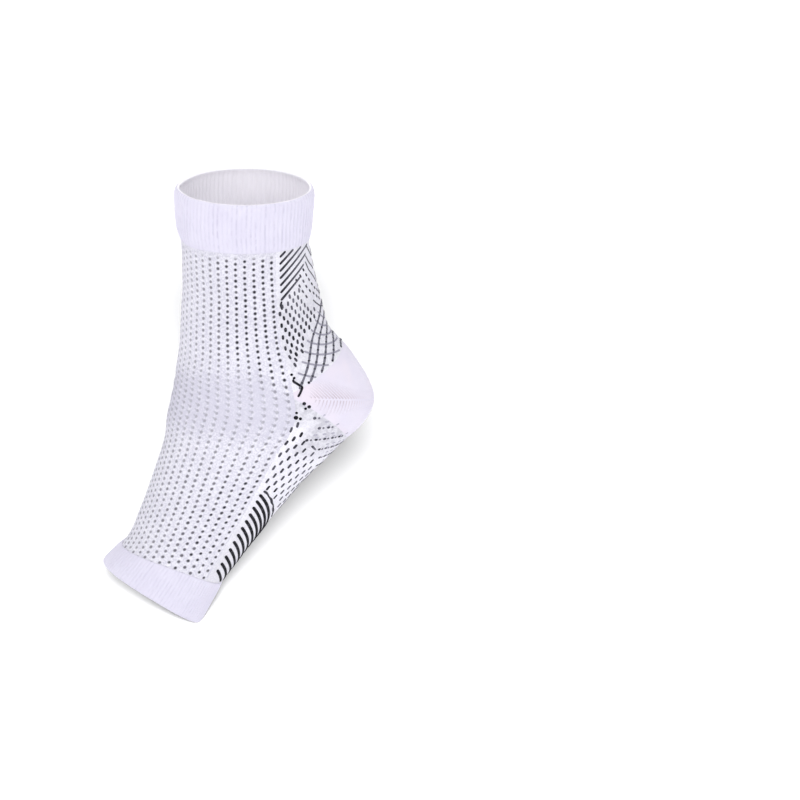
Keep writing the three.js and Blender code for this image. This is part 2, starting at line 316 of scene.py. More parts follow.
class Piece:
    """Points and faces of one piece. Each patch of faces has its own island on the bake map."""

    def __init__(self, name):
        self.name = name
        self.points = []
        self.tones = []
        self.pitches = []
        self.count = 0
        self.patches = []

    def add_points(self, points, tone=0.0, pitch=(1, 1, 0)):
        points = points.reshape(-1, 3)
        self.points.append(points)
        self.tones.append(np.broadcast_to(np.asarray(tone, float).ravel(), len(points)) * 1.0)
        self.pitches.append(np.broadcast_to(np.reshape(pitch, (-1, 3)), points.shape) * 1.0)
        start = self.count
        self.count += len(points)
        return start

    def add_faces(self, faces, knit, bake, material=0):
        """Faces (n, k) with a knit and a bake coordinate in mm for each corner (n, k, 2)."""
        self.patches.append((faces, knit, bake, material))

    def placed_bakes(self):
        """The islands' coordinates, laid out in rows on one square map."""
        order = sorted(range(len(self.patches)), key=lambda place: -np.ptp(self.patches[place][2][..., 1]))
        corner = np.zeros(2)
        row_height = 0
        widest = 0
        placed = [None] * len(self.patches)
        for place in order:
            bake = self.patches[place][2]
            low = bake.reshape(-1, 2).min(0)
            size = bake.reshape(-1, 2).max(0) - low
            if corner[0] > 0 and corner[0] + size[0] > BAKE_ROW:
                corner = np.array([0, corner[1] + row_height + BAKE_MARGIN])
                row_height = 0
            placed[place] = bake - low + corner + BAKE_MARGIN / 2
            corner = corner + (size[0] + BAKE_MARGIN, 0)
            row_height = max(row_height, size[1])
            widest = max(widest, corner[0])
        span = np.array([widest, corner[1] + row_height + BAKE_MARGIN])
        return [bake / span for bake in placed]

    def make(self, materials, node):
        points = np.concatenate(self.points) * MILLIMETRE
        faces = []
        slots = []
        for corners, _knit, _bake, material in self.patches:
            faces.extend(corners.tolist())
            slots.extend([material] * len(corners))
        mesh = bpy.data.meshes.new(self.name)
        mesh.from_pydata(points.tolist(), [], faces)
        mesh.polygons.foreach_set("material_index", slots)
        mesh.polygons.foreach_set("use_smooth", [True] * len(faces))
        knit = np.concatenate([patch[1].reshape(-1, 2) for patch in self.patches])
        bake = np.concatenate([bake.reshape(-1, 2) for bake in self.placed_bakes()])
        for name, values in (("OFBake", bake), ("Knit", knit)):
            layer = mesh.uv_layers.new(name=name)
            layer.data.foreach_set("uv", values.astype(np.float32).ravel())
        tone = mesh.attributes.new("tone", "FLOAT", "POINT")
        tone.data.foreach_set("value", np.concatenate(self.tones).astype(np.float32))
        pitch = mesh.attributes.new("pitch", "FLOAT_VECTOR", "POINT")
        pitch.data.foreach_set("vector", np.concatenate(self.pitches).astype(np.float32).ravel())
        mesh.set_sharp_from_angle(angle=SHARP_ANGLE)
        mesh.update()
        for material in materials:
            mesh.materials.append(material)
        piece = bpy.data.objects.new(self.name, mesh)
        bpy.context.scene.collection.objects.link(piece)
        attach(piece, "root")
        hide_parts(node)
        return piece


def grid_faces(rows, columns, around):
    """Row and column of each corner of each quad of a grid, seen from outside the tube."""
    last = columns if around else columns - 1
    row, column = np.meshgrid(np.arange(rows - 1), np.arange(last), indexing="ij")
    row, column = row.ravel(), column.ravel()
    corner_rows = np.stack([row, row, row + 1, row + 1], -1)
    corner_columns = np.stack([column, column + 1, column + 1, column], -1)
    return corner_rows, corner_columns


def rim_strip(outer_line, inner_line, step):
    """Faces between a fine line of outer points and a coarse line of inner points."""
    count = len(inner_line) - 1
    place = np.arange(count)
    fine = outer_line[place[:, None] * step + np.arange(step + 1)]
    return np.concatenate([fine, inner_line[place + 1][:, None], inner_line[place][:, None]], -1)


def knit_pitch(points, knit, opening):
    """Millimetres of surface to one unit of knit, across and along, and how open the dots are."""
    across = np.linalg.norm(np.gradient(points, axis=1), axis=-1) / np.gradient(knit[..., 0], axis=1)
    along = np.linalg.norm(np.gradient(points, axis=0), axis=-1) / np.gradient(knit[..., 1], axis=0)
    return np.stack([across, along, np.broadcast_to(opening, across.shape)], -1)


def add_sheet(piece, station, angle, raise_by, knit, inner_step, tone=0.0, opening=0.0):
    """A closed wall under a grid of places: fine outside, coarser inside."""
    rows, columns = station.shape
    normal = outward(station, angle)
    skin_points = skin(station, angle)
    outer = skin_points + normal * raise_by[..., None]
    coarse = (slice(None, None, inner_step), slice(None, None, inner_step))
    inner_raise = np.minimum(raise_by[coarse], 0) * INNER_RELIEF - KNIT_WALL
    inner = skin_points[coarse] + normal[coarse] * inner_raise[..., None]
    tone = np.broadcast_to(tone, station.shape)
    pitch = knit_pitch(skin_points, knit, opening)
    outer_start = piece.add_points(outer, tone, pitch)
    inner_start = piece.add_points(inner, tone[coarse], pitch[coarse])
    width = walked_along(skin_points[rows // 2])[-1]
    height = walked_along(skin_points[:, columns // 2])[-1]
    bake_x, bake_y = np.meshgrid(np.linspace(0, width, columns), np.linspace(0, height, rows))
    bake = np.stack([bake_x, bake_y], -1)
    row, column = grid_faces(rows, columns, False)
    piece.add_faces(outer_start + row * columns + column, knit[row, column], bake[row, column])
    inner_rows, inner_columns = inner.shape[:2]
    row, column = grid_faces(inner_rows, inner_columns, False)
    row, column = row[:, ::-1], column[:, ::-1]
    inner_faces = inner_start + row * inner_columns + column
    piece.add_faces(inner_faces, knit[coarse][row, column], bake[coarse][row, column])
    outer_at = outer_start + np.arange(rows * columns).reshape(rows, columns)
    inner_at = inner_start + np.arange(inner_rows * inner_columns).reshape(inner_rows, inner_columns)
    flat_knit = np.concatenate([knit.reshape(-1, 2), knit[coarse].reshape(-1, 2)])
    sides = (
        (outer_at[0][::-1], inner_at[0][::-1]),
        (outer_at[-1], inner_at[-1]),
        (outer_at[:, 0], inner_at[:, 0]),
        (outer_at[:, -1][::-1], inner_at[:, -1][::-1]),
    )
    for outer_line, inner_line in sides:
        faces = rim_strip(outer_line, inner_line, inner_step)
        count = len(faces)
        fine_x = np.arange(inner_step + 1) / inner_step
        x = np.arange(count)[:, None] + np.concatenate([fine_x, [1, 0]])
        y = np.broadcast_to(np.array([0] * (inner_step + 1) + [1, 1.0]), x.shape)
        rim_bake = np.stack([x * width / count, y * KNIT_WALL], -1)
        piece.add_faces(faces, flat_knit[faces - outer_start], rim_bake)


def add_band(piece, profile_station, profile_depth, angle, knit_u, knit_v, raise_by, tone=0.0):
    """A closed band round the tube: a loop of profile places swept round all angles."""
    rows = len(profile_station)
    columns = angle.shape[1]
    station = np.broadcast_to(profile_station[:, None], (rows, columns))
    normal = outward(station, angle)
    points = skin(station, angle) + normal * (raise_by - profile_depth[:, None])[..., None]
    start = piece.add_points(points, tone)
    row, column = grid_faces(rows + 1, columns, True)
    faces = start + (row % rows) * columns + column % columns
    walked = walked_along(np.concatenate([points[:, 0], points[:1, 0]]))
    turned = walked_along(np.concatenate([points[0], points[0, :1]]))
    v = np.append(knit_v, knit_v[-1])
    knit = np.stack([knit_u[column], v[row]], -1)
    bake = np.stack([turned[column], walked[row]], -1)
    piece.add_faces(faces, knit, bake)


# Yarn laid on the surface

YARN_SIDES = 8
YARN_STEP = 0.8
YARN_SINK = 0.03
# Rings close up towards both ends, at these shares of the radius, so that the ends are round
YARN_END_RINGS = (0.0, 0.08, 0.4)
YARN_LEAST_CLOSING = 0.02
# Length of the outline of a flat yarn, as a share of its width
YARN_GIRTH = 2.2
CAP_SHARE = 0.2
# Places between two given points of a line
LINE_STEPS = 12


def add_yarn(piece, station, angle, width, height, tone=0.0):
    """A closed flat tube of yarn along a line of places. Width and tone may differ along it."""
    walked = walked_along(skin(station, angle))
    total = walked[-1]
    count = max(4, int(round(total / YARN_STEP)) + 1)
    even = np.linspace(0, 1, count)
    radius = min(float(np.mean(width)) / 2, total / 2)
    ends = np.array(YARN_END_RINGS) * radius
    inside = ends[-1] + (total - 2 * ends[-1]) * even
    wanted = np.concatenate([ends[:-1], inside, total - ends[:-1][::-1]])
    at_station = np.interp(wanted, walked, station)
    at_angle = np.interp(wanted, walked, angle)
    at_width = np.interp(wanted, walked, np.broadcast_to(width, walked.shape))
    at_tone = np.interp(wanted, walked, np.broadcast_to(tone, walked.shape))
    from_end = np.minimum(wanted, total - wanted)
    closing = np.sqrt(np.clip(1 - (1 - np.clip(from_end / radius, 0, 1)) ** 2, YARN_LEAST_CLOSING, 1))
    centre = skin(at_station, at_angle)
    normal = outward(at_station, at_angle)
    along = unit(np.gradient(centre, axis=0))
    across = unit(np.cross(along, normal))
    turn = np.arange(YARN_SIDES) * 2 * math.pi / YARN_SIDES
    half = (at_width / 2 * closing)[:, None, None]
    rise = (height * closing)[:, None, None]
    ring = across[:, None] * np.cos(turn)[None, :, None] * half
    ring = ring + normal[:, None] * np.sin(turn)[None, :, None] * rise
    over = (relief_at(at_station, at_angle) - YARN_SINK)[:, None, None]
    points = centre[:, None] + normal[:, None] * over + ring
    rows = len(wanted)
    start = piece.add_points(points, np.repeat(at_tone, YARN_SIDES))
    row, column = grid_faces(rows, YARN_SIDES, True)
    faces = start + row * YARN_SIDES + column % YARN_SIDES
    girth = float(np.mean(width)) * YARN_GIRTH
    place = np.stack([wanted[row], column * girth / YARN_SIDES], -1)
    piece.add_faces(faces, place, place, 1)
    first = start + np.arange(YARN_SIDES)[::-1]
    last = start + (rows - 1) * YARN_SIDES + np.arange(YARN_SIDES)
    caps = np.stack([first, last])
    cap_at = np.stack([np.cos(turn), np.sin(turn)], -1) * radius * CAP_SHARE
    cap_place = np.stack([cap_at + (0, -radius), cap_at + (total, -radius)])
    piece.add_faces(caps, cap_place, cap_place, 1)


def spread_line(piece, spread, length, width, height, tone=0.0):
    """Yarn on both sides, along places given by degrees from the middle of the back and length."""
    walked = np.linspace(0, 1, len(spread))
    fine = np.linspace(0, 1, LINE_STEPS * len(spread))
    station = back_station(np.interp(fine, walked, length))
    turned = np.radians(np.interp(fine, walked, spread))
    widths = np.interp(fine, walked, np.broadcast_to(width, walked.shape))
    tones = np.interp(fine, walked, np.broadcast_to(tone, walked.shape))
    for side in (-1, 1):
        add_yarn(piece, station, math.pi + side * turned, widths, height, tones)


def dash(piece, spread, length, across, along, width, height, tone=0.0):
    """A short stitch of yarn about a place. It runs across and along the strip by mm of knit."""
    angle = math.pi + math.radians(spread)
    station = float(back_station(length))
    here = skin(station, angle)
    degree = np.linalg.norm(skin(station, angle + math.radians(1)) - here)
    stretch = np.linalg.norm(skin(float(back_station(length + 1)), angle) - here)
    turn = across / degree / 2
    rise = along / stretch / 2
    spread_line(piece, (spread - turn, spread + turn), (length - rise, length + rise), width, height, tone)


# Materials

# A stitch: how far its legs slant, and how far they swing up and down
LEG_SLANT = 0.6
LEG_SWING = 0.28
# Height under which a hollow between stitches starts to get painted shade
HOLLOW_HEIGHT = 0.6
# Roughness, gloss and sheen
KNIT_SURFACE = (0.92, 0.2, 0.25)
YARN_SURFACE = (0.9, 0.05, 0.02)
SHEEN_ROUGHNESS = 0.5
SHEEN_TINT = (0.95, 0.94, 1.0, 1.0)


class Nodes:
    """Short names for the nodes of one material."""

    def __init__(self, name):
        self.material = bpy.data.materials.new(name)
        self.material.use_nodes = True
        self.tree = self.material.node_tree
        self.tree.nodes.clear()

    def link(self, value, socket):
        if isinstance(value, (int, float, tuple)):
            socket.default_value = value
        else:
            self.tree.links.new(value, socket)

    def node(self, kind, inputs=(), **settings):
        node = self.tree.nodes.new(kind)
        for name, value in settings.items():
            setattr(node, name, value)
        for name, value in dict(inputs).items():
            self.link(value, node.inputs[name])
        return node

    def math(self, operation, *values):
        node = self.node("ShaderNodeMath", operation=operation)
        for place, value in enumerate(values):
            self.link(value, node.inputs[place])
        return node.outputs[0]

    def times(self, first, second):
        return self.math("MULTIPLY", first, second)

    def plus(self, first, second):
        return self.math("ADD", first, second)

    def minus(self, first, second):
        return self.math("SUBTRACT", first, second)

    def times_plus(self, first, second, third):
        return self.math("MULTIPLY_ADD", first, second, third)

    def distance(self, x, y):
        return self.math("SQRT", self.plus(self.times(x, x), self.times(y, y)))

    def ramp(self, value, low, high, to_low=0.0, to_high=1.0):
        inputs = {"Value": value, "From Min": low, "From Max": high, "To Min": to_low, "To Max": to_high}
        node = self.node("ShaderNodeMapRange", inputs, interpolation_type="SMOOTHSTEP")
        return node.outputs[0]

    def mix(self, share, first, second):
        node = self.node("ShaderNodeMix", data_type="RGBA")
        self.link(share, node.inputs[0])
        self.link(first, node.inputs[6])
        self.link(second, node.inputs[7])
        return node.outputs[2]

    def split(self, vector):
        return self.node("ShaderNodeSeparateXYZ", {"Vector": vector}).outputs

    def knit(self):
        """Place in the knit, across and along it."""
        return self.split(self.node("ShaderNodeUVMap", uv_map="Knit").outputs[0])[:2]

    def tone(self):
        return self.node("ShaderNodeAttribute", attribute_name="tone").outputs["Fac"]

    def pitch(self):
        return self.split(self.node("ShaderNodeAttribute", attribute_name="pitch").outputs["Vector"])

    def patches(self, scale, detail, low, high, least, most):
        """Soft noise. Between low and high it rises from least to most."""
        place = self.node("ShaderNodeTexCoord").outputs["Object"]
        inputs = {"Vector": place, "Scale": scale, "Detail": detail}
        noise = self.node("ShaderNodeTexNoise", inputs).outputs[0]
        return self.ramp(noise, low, high, least, most)

    def random(self, x, y):
        place = self.node("ShaderNodeCombineXYZ", {"X": x, "Y": y}).outputs[0]
        return self.node("ShaderNodeTexWhiteNoise", {"Vector": place}, noise_dimensions="2D").outputs[0]

    def stitches(self, across, along):
        """Height of plain knit, 0 to 1: two slanted legs to each stitch."""
        leg = self.math("ABSOLUTE", self.times_plus(self.math("FRACT", across), 2.0, -1.0))
        hump = self.math("SINE", self.times(leg, math.pi))
        slanted = self.times_plus(leg, LEG_SLANT, along)
        wave = self.math("COSINE", self.times(slanted, 2 * math.pi))
        return self.times(hump, self.times_plus(wave, LEG_SWING, 1 - LEG_SWING))

    # Painted shade: the colour goes towards a shade colour in the hollows between stitches
    def shade_hollows(self, colour, height, share, shade):
        return self.mix(self.ramp(height, 0.0, HOLLOW_HEIGHT, share, 0.0), colour, shade)

    def surface(self, colour, roughness, gloss):
        inputs = {"Base Color": colour, "Roughness": roughness, "Specular IOR Level": gloss}
        shader = self.node("ShaderNodeBsdfPrincipled", inputs)
        self.node("ShaderNodeOutputMaterial", {"Surface": shader.outputs[0]})
        return shader

    def finish(self, colour, height, bump_depth, surface=KNIT_SURFACE):
        roughness, gloss, sheen = surface
        shader = self.surface(colour, roughness, gloss)
        shader.inputs["Sheen Weight"].default_value = sheen
        shader.inputs["Sheen Roughness"].default_value = SHEEN_ROUGHNESS
        shader.inputs["Sheen Tint"].default_value = SHEEN_TINT
        inputs = {"Strength": 1.0, "Distance": bump_depth * MILLIMETRE, "Height": height}
        bump = self.node("ShaderNodeBump", inputs)
        self.link(bump.outputs[0], shader.inputs["Normal"])
        return self.material


def srgb(red, green, blue):
    """A colour seen as 0 to 255 on a screen, as the light it stands for."""
    shares = [value / 255 for value in (red, green, blue)]
    return (*[s / 12.92 if s <= 0.04045 else ((s + 0.055) / 1.055) ** 2.4 for s in shares], 1.0)


KNIT_WHITE = srgb(247, 246, 252)
KNIT_SHADE = srgb(203, 201, 216)
CUFF_WHITE = srgb(220, 217, 232)
CUFF_SHADE = srgb(203, 199, 219)
# Painted light: a lighter colour for the bands' inner walls, which stand in shade inside the tube
CUFF_INSIDE_PAINTED_LIGHT = srgb(251, 248, 255)
# Painted shade for the furrows between the ribs
CUFF_FURROW_SHADE = srgb(186, 182, 203)
HEEL_WHITE = srgb(221, 216, 229)
HEEL_BLUSH = srgb(224, 213, 223)
DOT_BLACK = srgb(44, 42, 51)
YARN_BLACK = srgb(24, 23, 29)
YARN_GREY = srgb(128, 127, 140)
YARN_BLUSH = srgb(190, 178, 188)

# Patches of noise: scale to the metre, detail, range of the noise, least and most
BAND_PATCHES = (70.0, 2.0, 0.35, 0.7, 0.1, 0.35)
BLUSH_PATCHES = (38.0, 1.0, 0.5, 0.72, 0.0, 0.8)
FURROW_PATCHES = (230.0, 2.0, 0.4, 0.62, 0.15, 1.0)
BODY_PATCHES = (60.0, 2.0, 0.35, 0.7, 0.12, 0.22)
BODY_MOTTLE = (900.0, 2.0, 0.38, 0.62, 0.0, 0.5)
PANEL_PATCHES = (60.0, 2.0, 0.35, 0.7, 0.1, 0.25)
PANEL_MOTTLE = (900.0, 2.0, 0.38, 0.62, 0.0, 0.3)
PANEL_HAZE = (330.0, 3.0, 0.42, 0.62, 0.225, 0.45)
YARN_WEAR = (420.0, 3.0, 0.45, 0.75, 0.0, 0.22)

# Depth of the stitches in mm, in plain and patterned knit and on yarn, and how much painted shade their
# hollows get
PLAIN_BUMP = 0.16
OPEN_BUMP = 0.22
YARN_BUMP = 0.12
PLAIN_HOLLOW_SHADE = 0.35
OPEN_HOLLOW_SHADE = 0.3

# The furrows between the ribs get painted shade, each by its own share and in patches
FURROW_EDGE = (-0.9, 0.2)
FURROW_LUCK = (0.8, 0.2)
FURROW_SEED = 5.0

# Dots: pitch in mm, stitches to a pitch, and radius, which differs a little from dot to dot
COLUMN_PITCH = 5.4
ROW_PITCH = 3.8
STITCHES_PER_COLUMN = 6
STITCHES_PER_ROW = 5
DOT_COLUMNS = 29
DOT_LEAST_RADIUS = 0.98
DOT_RADIUS_RANGE = 0.16
# A dot and the grey halo round it fade out over these shares of its radius
DOT_EDGE = (0.55, 1.3)
HALO_EDGE = (1.0, 1.9)
HALO = 0.4
# How much the dots differ in darkness, and how far they sink in
DOT_LUCK = (0.26, 0.87)
DOT_SEED = 31.0
DOT_SUNK = 1.2
# Tails of the dots: reach in mm, slope, shares of length and thickness, edge and darkness
TAIL_REACH = 1.0
TAIL_SLOPE = 0.5
TAIL_LONG = 0.55
TAIL_THICK = 1.3
TAIL_EDGE = (0.35, 1.3)
TAIL_TONE = 0.7
# The knit is whiter along the raised columns and greyer at these distances from them, in the hollows
# between (painted highlight and painted shade), and greyer where it is pulled open
BETWEEN_EDGE = (0.6, 1.7)
BETWEEN_PAINTED_SHADE = 0.22
PULLED_GREY = 0.42

# Yarn: how its two plies wind round each other, in mm
PLY_SLANT = 1.4
PLY_LENGTH = 0.85


def plain_knit(name, white, wales, courses, blush=None, inside=None, furrow_shade=0.0):
    """Knit of one colour, with a number of wales and courses to one unit of knit."""
    nodes = Nodes(name)
    across, along = nodes.knit()
    height = nodes.stitches(nodes.times(across, wales), nodes.times(along, courses))
    colour = nodes.mix(nodes.patches(*BAND_PATCHES), white, CUFF_SHADE)
    if blush:
        colour = nodes.mix(nodes.patches(*BLUSH_PATCHES), colour, blush)
    colour = nodes.shade_hollows(colour, height, PLAIN_HOLLOW_SHADE, CUFF_SHADE)
    # Painted shade in the furrows between the ribs
    if furrow_shade:
        rib = nodes.math("COSINE", nodes.times(across, 2 * math.pi))
        luck = nodes.random(nodes.math("FLOOR", across), FURROW_SEED)
        depth = nodes.times(nodes.patches(*FURROW_PATCHES), nodes.times_plus(luck, *FURROW_LUCK))
        furrow_shade_mask = nodes.ramp(rib, *FURROW_EDGE, furrow_shade, 0.0)
        colour = nodes.mix(nodes.times(furrow_shade_mask, depth), colour, CUFF_FURROW_SHADE)
    # Painted light: where tone is 1, on the inner wall, the knit takes a lighter colour that makes up for
    # the shade inside
    if inside:
        colour = nodes.mix(nodes.tone(), colour, inside)
    return nodes.finish(colour, height, PLAIN_BUMP)


def dot_tail(nodes, across, x, y):
    """A tail from a dot towards the front, which the knit shows where it is pulled open."""
    side = nodes.math("SIGN", nodes.minus(DOT_COLUMNS / 2, across))
    tail_x = nodes.minus(nodes.times(x, side), TAIL_REACH)
    tail_y = nodes.plus(y, TAIL_REACH * TAIL_SLOPE)
    long = nodes.times(nodes.minus(tail_x, nodes.times(tail_y, TAIL_SLOPE)), TAIL_LONG)
    thick = nodes.times(nodes.times_plus(tail_x, TAIL_SLOPE, tail_y), TAIL_THICK)
    return nodes.ramp(nodes.distance(long, thick), *TAIL_EDGE, TAIL_TONE, 0.0)


def dotted_knit(name):
    nodes = Nodes(name)
    across, along = nodes.knit()
    column = nodes.math("FLOOR", across)
    shifted = nodes.times_plus(nodes.math("MODULO", column, 2.0), 0.5, along)
    row = nodes.math("FLOOR", shifted)
    column_pitch, row_pitch, open_share = nodes.pitch()
    x = nodes.times(nodes.minus(nodes.math("FRACT", across), 0.5), column_pitch)
    y = nodes.times(nodes.minus(nodes.math("FRACT", shifted), 0.5), row_pitch)
    radius = nodes.times_plus(nodes.random(column, row), DOT_RADIUS_RANGE, DOT_LEAST_RADIUS)
    share = nodes.math("DIVIDE", nodes.distance(x, y), radius)
    dot = nodes.ramp(share, *DOT_EDGE, 1.0, 0.0)
    tail = nodes.times(dot_tail(nodes, across, x, y), open_share)
    mask = nodes.math("MAXIMUM", dot, tail)
    luck = nodes.random(nodes.plus(column, DOT_SEED), row)
    strength = nodes.times(nodes.tone(), nodes.times_plus(luck, *DOT_LUCK))
    strength = nodes.math("MINIMUM", strength, 1.0)
    wales = nodes.times(across, STITCHES_PER_COLUMN)
    courses = nodes.times(along, STITCHES_PER_ROW)
    height = nodes.stitches(wales, courses)
    # Painted highlight and shade: whiter along the raised columns, greyer in the hollows between them
    between = nodes.ramp(nodes.math("ABSOLUTE", x), *BETWEEN_EDGE, 0.0, BETWEEN_PAINTED_SHADE)
    greyer = nodes.plus(between, nodes.patches(*BODY_MOTTLE))
    greyer = nodes.plus(greyer, nodes.patches(*BODY_PATCHES))
    greyer = nodes.times_plus(open_share, PULLED_GREY, greyer)
    colour = nodes.mix(nodes.math("MINIMUM", greyer, 1.0), KNIT_WHITE, KNIT_SHADE)
    colour = nodes.mix(nodes.ramp(share, *HALO_EDGE, HALO, 0.0), colour, KNIT_SHADE)
    colour = nodes.shade_hollows(colour, height, OPEN_HOLLOW_SHADE, KNIT_SHADE)
    colour = nodes.mix(nodes.times(mask, strength), colour, DOT_BLACK)
    sunk = nodes.minus(height, nodes.times(mask, DOT_SUNK))
    return nodes.finish(colour, sunk, OPEN_BUMP)


def panel_knit(name):
    """Ground of the back strip. Tone says how much grey yarn shows through it."""
    nodes = Nodes(name)
    height = nodes.stitches(*nodes.knit())
    patchy = nodes.plus(nodes.patches(*PANEL_PATCHES), nodes.patches(*PANEL_MOTTLE))
    colour = nodes.mix(patchy, KNIT_WHITE, KNIT_SHADE)
    colour = nodes.shade_hollows(colour, height, OPEN_HOLLOW_SHADE, KNIT_SHADE)
    colour = nodes.mix(nodes.times(nodes.patches(*PANEL_HAZE), nodes.tone()), colour, YARN_GREY)
    return nodes.finish(colour, height, OPEN_BUMP)


def yarn(name, colour, fleck):
    """Wound yarn. With tone it goes from its colour to its fleck, and beyond 1 to the knit's shade."""
    nodes = Nodes(name)
    across, along = nodes.knit()
    wound = nodes.times_plus(along, PLY_SLANT, across)
    wave = nodes.math("SINE", nodes.times(wound, 2 * math.pi / PLY_LENGTH))
    height = nodes.times_plus(wave, 0.5, 0.5)
    tone = nodes.tone()
    base = nodes.mix(nodes.minus(tone, 1.0), nodes.mix(tone, colour, fleck), KNIT_SHADE)
    seen = nodes.mix(nodes.patches(*YARN_WEAR), base, fleck)
    return nodes.finish(seen, height, YARN_BUMP, YARN_SURFACE)


CUFF_KNIT = plain_knit("cuff_knit", CUFF_WHITE, 3, 1.1, inside=CUFF_INSIDE_PAINTED_LIGHT, furrow_shade=0.5)
BAND_KNIT = plain_knit("toe_band_knit", CUFF_WHITE, 3, 1.1, inside=CUFF_INSIDE_PAINTED_LIGHT, furrow_shade=0.3)
HEEL_KNIT = plain_knit("heel_knit", HEEL_WHITE, 1, 1, blush=HEEL_BLUSH)
DOT_KNIT = dotted_knit("dotted_knit")
PANEL_KNIT = panel_knit("panel_knit")
DARK_YARN = yarn("dark_yarn", YARN_BLACK, YARN_GREY)
BLUSH_YARN = yarn("blush_yarn", YARN_BLUSH, HEEL_WHITE)

# Front zone with its dots

FINE_PER_COLUMN = 8
FINE_PER_ROW = 6
INNER_STEP = 4


def row_of(station):
    return np.interp(station, SURVEY, SIDE_LENGTH) / ROW_PITCH


def station_of_row(row):
    return np.interp(row * ROW_PITCH, SIDE_LENGTH, SURVEY)


# How dark the dots are, from 0 to 1: faint over the bend of the ankle, and there fainter at the sides
FAINT_DOT = 0.35
FAINT_DOT_SIDE = 0.07
FAINT_DOT_ACROSS = (0.3, 0.9)
# On the leg and on the foot they are darker, by the second share at the front and by both at the sides.
# Across is 0 in the middle of the front, and 1 at the zone's edge
LEG_DOT = (0.65, 0.08)
LEG_DOT_ACROSS = (0.17, 0.85)
FOOT_DOT = (0.52, 0.23)
FOOT_DOT_ACROSS = (0.14, 1.07)
# Back lengths in mm: the leg's dots are faint below the first and dark above the second, both of them
# later at the sides, and the foot's get darker between their two
LEG_DOT_END = (121, 86)
LEG_DOT_LATER = 27
LEG_DOT_LATER_ACROSS = (0.66, 1)
FOOT_DOT_START = (132, 232)
# Back lengths between which the dots pull open, each a place where that starts and is complete
OPEN_START = (98, 124)
OPEN_END = (186, 148)
# At the sides that starts later
OPEN_DELAY = 13
OPEN_DELAY_ACROSS = (0.8, 0.93)
# Way under the cuff without dots
BARE_TOP = (1.5, 5.5)


def dot_tone(length, across):
    faint = FAINT_DOT - FAINT_DOT_SIDE * smooth(*FAINT_DOT_ACROSS, across)
    later = LEG_DOT_LATER * smooth(*LEG_DOT_LATER_ACROSS, across)
    leg = smooth(*LEG_DOT_END, length - later) * np.polyval(LEG_DOT, smooth(*LEG_DOT_ACROSS, across))
    foot = smooth(*FOOT_DOT_START, length) * np.polyval(FOOT_DOT, smooth(*FOOT_DOT_ACROSS, across))
    return np.minimum(faint + leg + foot, 1)


def even_rows(start, end, per_row):
    first, last = row_of(start), row_of(end)
    count = int(round((last - first) * per_row / INNER_STEP)) * INNER_STEP
    return station_of_row(np.linspace(first, last, count + 1))


DIMPLE_DEPTH = 0.4
DIMPLE_RADIUS = 1.25
RIDGE_HEIGHT = 0.22


def make_body():
    piece = Piece("instep_body_knit")
    rows = even_rows(CUFF_SEAM, TOE_SEAM, FINE_PER_ROW)
    count = DOT_COLUMNS * FINE_PER_COLUMN
    share = np.linspace(-1, 1, count + 1)
    station = np.repeat(rows[:, None], len(share), 1)
    angle = share[None, :] * (math.pi - panel_half(rows))[:, None]
    across = np.repeat((share[None, :] + 1) / 2 * DOT_COLUMNS, len(rows), 0)
    along = np.repeat(row_of(rows)[:, None], len(share), 1)
    column = np.minimum(np.floor(across), DOT_COLUMNS - 1)
    shifted = along + 0.5 * (column % 2)
    x = (across - column - 0.5) * COLUMN_PITCH
    y = (shifted - np.floor(shifted) - 0.5) * ROW_PITCH
    near = np.exp(-(x ** 2 + y ** 2) / DIMPLE_RADIUS ** 2)
    ridge = 1 - np.cos(2 * math.pi * across)
    edge = smooth(0, 0.5, DOT_COLUMNS / 2 - np.abs(across - DOT_COLUMNS / 2))
    relief = RIDGE_HEIGHT * (ridge / 2 - 0.5) - DIMPLE_DEPTH * near
    relief = relief * edge + relief_at(station, angle)
    length = back_length(station)
    tone = dot_tone(length, np.abs(np.broadcast_to(share, station.shape)))
    tone = tone * smooth(*BARE_TOP, length - CUFF_HEIGHT)
    delay = OPEN_DELAY * smooth(*OPEN_DELAY_ACROSS, np.abs(np.broadcast_to(share, station.shape)))
    opening = smooth(*OPEN_START, length - delay) * smooth(*OPEN_END, length)
    knit = np.stack([across, along], -1)
    add_sheet(piece, station, angle, relief, knit, INNER_STEP, tone, opening)
    return piece.make([DOT_KNIT], "instep_body")


# Bands at the two openings

RIB_COUNT = 88
POINTS_PER_RIB = 6
BAND_ROW = 1.6
ROLL_POINTS = 9
BAND_SLACK = 0.8
# Ways from the rim and from the seam, in mm: where ribs fade, a band swells and its end tucks in
RIB_FROM_RIM = (0.6, 3.5)
RIB_FROM_SEAM = (0, 2.5)
SWELL_FROM_RIM = (0, 4)
SWELL_FROM_SEAM = (0, 8)
TUCK_FROM_SEAM = (2.2, 0)
# Height of the ribs, how far a band stands out over its length, and how far its end dips
CUFF_SHAPE = (0.24, 0.9, 0.3)
TOE_SHAPE = (0.14, 0.4, 0.3)


def band_profile(rim, seam, length_table, wall):
    """One closed loop through the band's wall, as stations, depths and ways from the rim, and the band's
    height.
    """
    height = abs(np.interp(seam, SURVEY, length_table) - np.interp(rim, SURVEY, length_table))
    radius = wall / 2
    body = np.linspace(radius, height, int(round((height - radius) / BAND_ROW)) + 1)
    turn = np.linspace(-math.pi / 2, math.pi / 2, ROLL_POINTS)[1:-1]
    at = np.concatenate([body[::-1], radius * (1 - np.cos(turn)), body])
    outer = np.full(len(body), -radius)
    depth = KNIT_WALL - radius + np.concatenate([outer, radius * np.sin(turn), -outer])
    way = np.sign(seam - rim)
    station = np.interp(np.interp(rim, SURVEY, length_table) + way * at, length_table, SURVEY)
    profile = np.stack([station, depth, at])
    return (profile if way > 0 else profile[:, ::-1]), height


